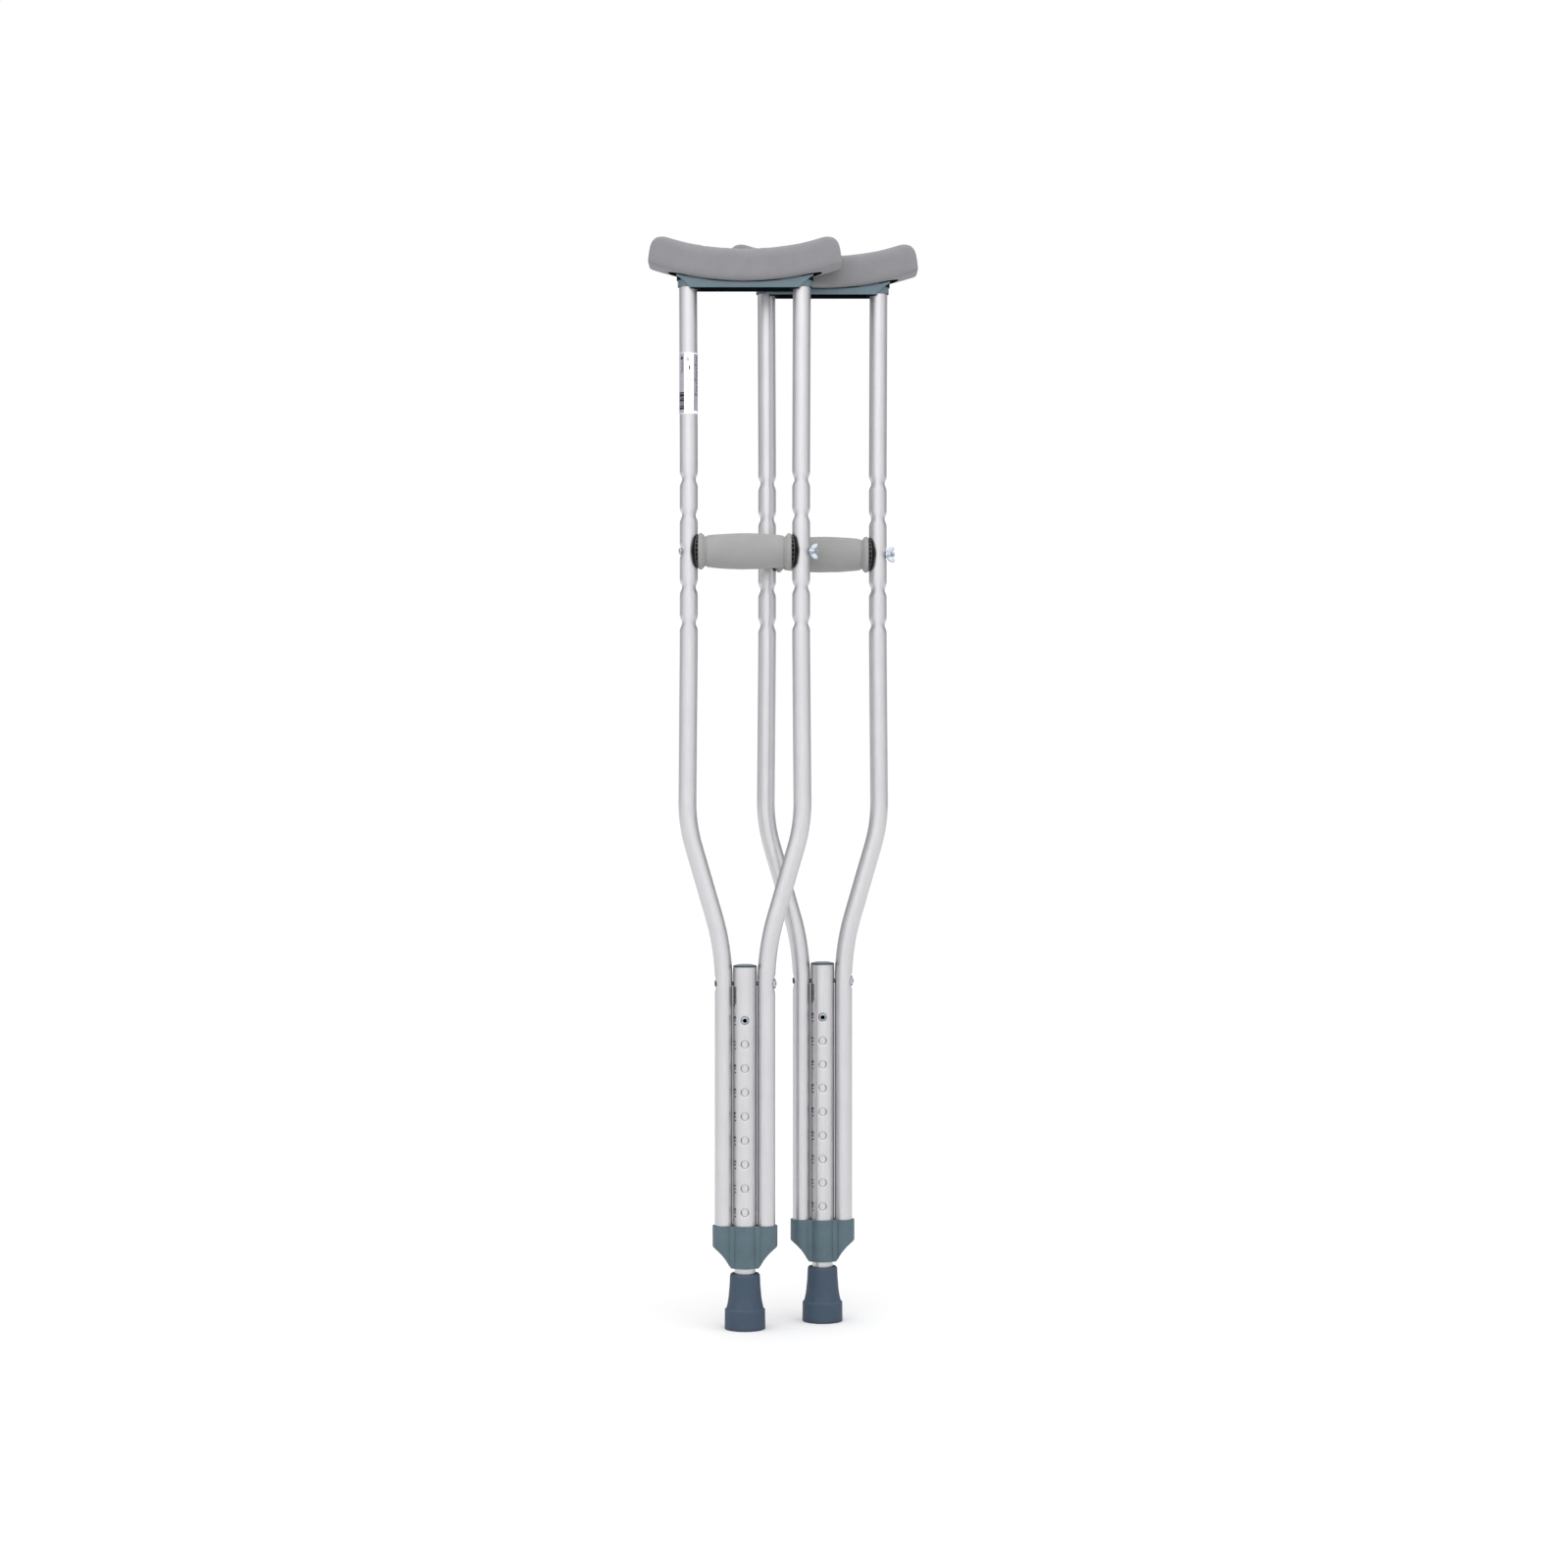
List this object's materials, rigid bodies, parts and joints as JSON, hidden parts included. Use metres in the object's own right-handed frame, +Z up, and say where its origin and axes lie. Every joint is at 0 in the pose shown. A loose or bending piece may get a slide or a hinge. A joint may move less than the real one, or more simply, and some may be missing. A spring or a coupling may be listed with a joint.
{
  "type": "underarm crutches",
  "caption": "Pair of adjustable aluminium underarm crutches with foam pads, foam hand grips, push-button leg height and rubber tips.",
  "frame": {"origin": "on the floor, midway between the two crutches (bottom centre of the box around the pair)", "axes": "+Z up along the crutches, +X across the hand grips towards the wing nuts, +Y from the near crutch to the far one"},
  "size_m": [0.2868, 0.091, 1.1574],
  "materials": {
    "pad_foam": "grey moulded foam, fine skin",
    "grip_foam": "light grey closed-cell foam",
    "teal_plastic": "satin moulded teal-grey plastic",
    "aluminium": "satin clear-anodised tube",
    "tip_rubber": "slate-blue moulded rubber",
    "black_plastic": "black moulded plastic",
    "zinc": "bright zinc-plated steel",
    "steel": "plain steel",
    "label_film": "white printed film"
  },
  "bodies": {
    "near_frame": {"near_underarm_pad": "pad_foam", "near_underarm_saddle": "teal_plastic", "near_left_upright": "aluminium", "near_right_upright": "aluminium", "near_centre_tube": "aluminium", "near_centre_tube_cap": "teal_plastic", "near_frame_bolt": "steel", "near_frame_nut": "zinc", "near_lower_collar": "teal_plastic", "near_size_label": "label_film"},
    "near_leg": {"near_leg_tube": "aluminium", "near_snap_spring": "steel", "near_rubber_tip": "tip_rubber", "near_tip_washer": "steel"},
    "near_button_front": {"near_snap_button_front": "zinc"},
    "near_button_back": {"near_snap_button_back": "zinc"},
    "near_grip": {"near_grip_foam": "grip_foam", "near_grip_core": "black_plastic", "near_grip_bolt": "zinc"},
    "near_wing_nut": {"near_wing_nut": "zinc"},
    "far_frame": {"far_underarm_pad": "pad_foam", "far_underarm_saddle": "teal_plastic", "far_left_upright": "aluminium", "far_right_upright": "aluminium", "far_centre_tube": "aluminium", "far_centre_tube_cap": "teal_plastic", "far_frame_bolt": "steel", "far_frame_nut": "zinc", "far_lower_collar": "teal_plastic"},
    "far_leg": {"far_leg_tube": "aluminium", "far_snap_spring": "steel", "far_rubber_tip": "tip_rubber", "far_tip_washer": "steel"},
    "far_button_front": {"far_snap_button_front": "zinc"},
    "far_button_back": {"far_snap_button_back": "zinc"},
    "far_grip": {"far_grip_foam": "grip_foam", "far_grip_core": "black_plastic", "far_grip_bolt": "zinc"},
    "far_wing_nut": {"far_wing_nut": "zinc"}
  },
  "joints": [
    {"name": "near_leg_extension", "type": "slide", "parent": "near_frame", "child": "near_leg", "axis": [0, 0, -1], "range_m": [0, 0.2032], "deforming": ["near_snap_spring", "near_snap_button_front", "near_snap_button_back"]},
    {"name": "near_snap_button_front_press", "type": "slide", "parent": "near_leg", "child": "near_button_front", "axis": [0, 1, 0], "range_m": [0, 0.0045], "stiffness_N_per_m": 2500, "springref_m": -0.002, "deforming": ["near_snap_spring"]},
    {"name": "near_snap_button_back_press", "type": "slide", "parent": "near_leg", "child": "near_button_back", "axis": [0, -1, 0], "range_m": [0, 0.0045], "stiffness_N_per_m": 2500, "springref_m": -0.002, "deforming": ["near_snap_spring"]},
    {"name": "near_grip_height", "type": "slide", "parent": "near_frame", "child": "near_grip", "axis": [0, 0, 1], "range_m": [-0.0762, 0.0762], "deforming": ["near_grip_bolt", "near_wing_nut"]},
    {"name": "near_wing_nut_turn", "type": "hinge", "parent": "near_grip", "child": "near_wing_nut", "pos_m": [0.0292, -0.0235, 0.8247], "axis": [1, 0, 0], "continuous": true},
    {"name": "far_leg_extension", "type": "slide", "parent": "far_frame", "child": "far_leg", "axis": [0, 0, -1], "range_m": [0, 0.2032], "deforming": ["far_snap_spring", "far_snap_button_front", "far_snap_button_back"]},
    {"name": "far_snap_button_front_press", "type": "slide", "parent": "far_leg", "child": "far_button_front", "axis": [0, 1, 0], "range_m": [0, 0.0045], "stiffness_N_per_m": 2500, "springref_m": -0.002, "deforming": ["far_snap_spring"]},
    {"name": "far_snap_button_back_press", "type": "slide", "parent": "far_leg", "child": "far_button_back", "axis": [0, -1, 0], "range_m": [0, 0.0045], "stiffness_N_per_m": 2500, "springref_m": -0.002, "deforming": ["far_snap_spring"]},
    {"name": "far_grip_height", "type": "slide", "parent": "far_frame", "child": "far_grip", "axis": [0, 0, 1], "range_m": [-0.0762, 0.0762], "deforming": ["far_grip_bolt", "far_wing_nut"]},
    {"name": "far_wing_nut_turn", "type": "hinge", "parent": "far_grip", "child": "far_wing_nut", "pos_m": [0.112, 0.0235, 0.8247], "axis": [1, 0, 0], "continuous": true},
    {"name": "pair_spread", "type": "slide", "parent": "near_frame", "child": "far_frame", "axis": [1, 0, 0], "range_m": [0, 0.35]}
  ]
}
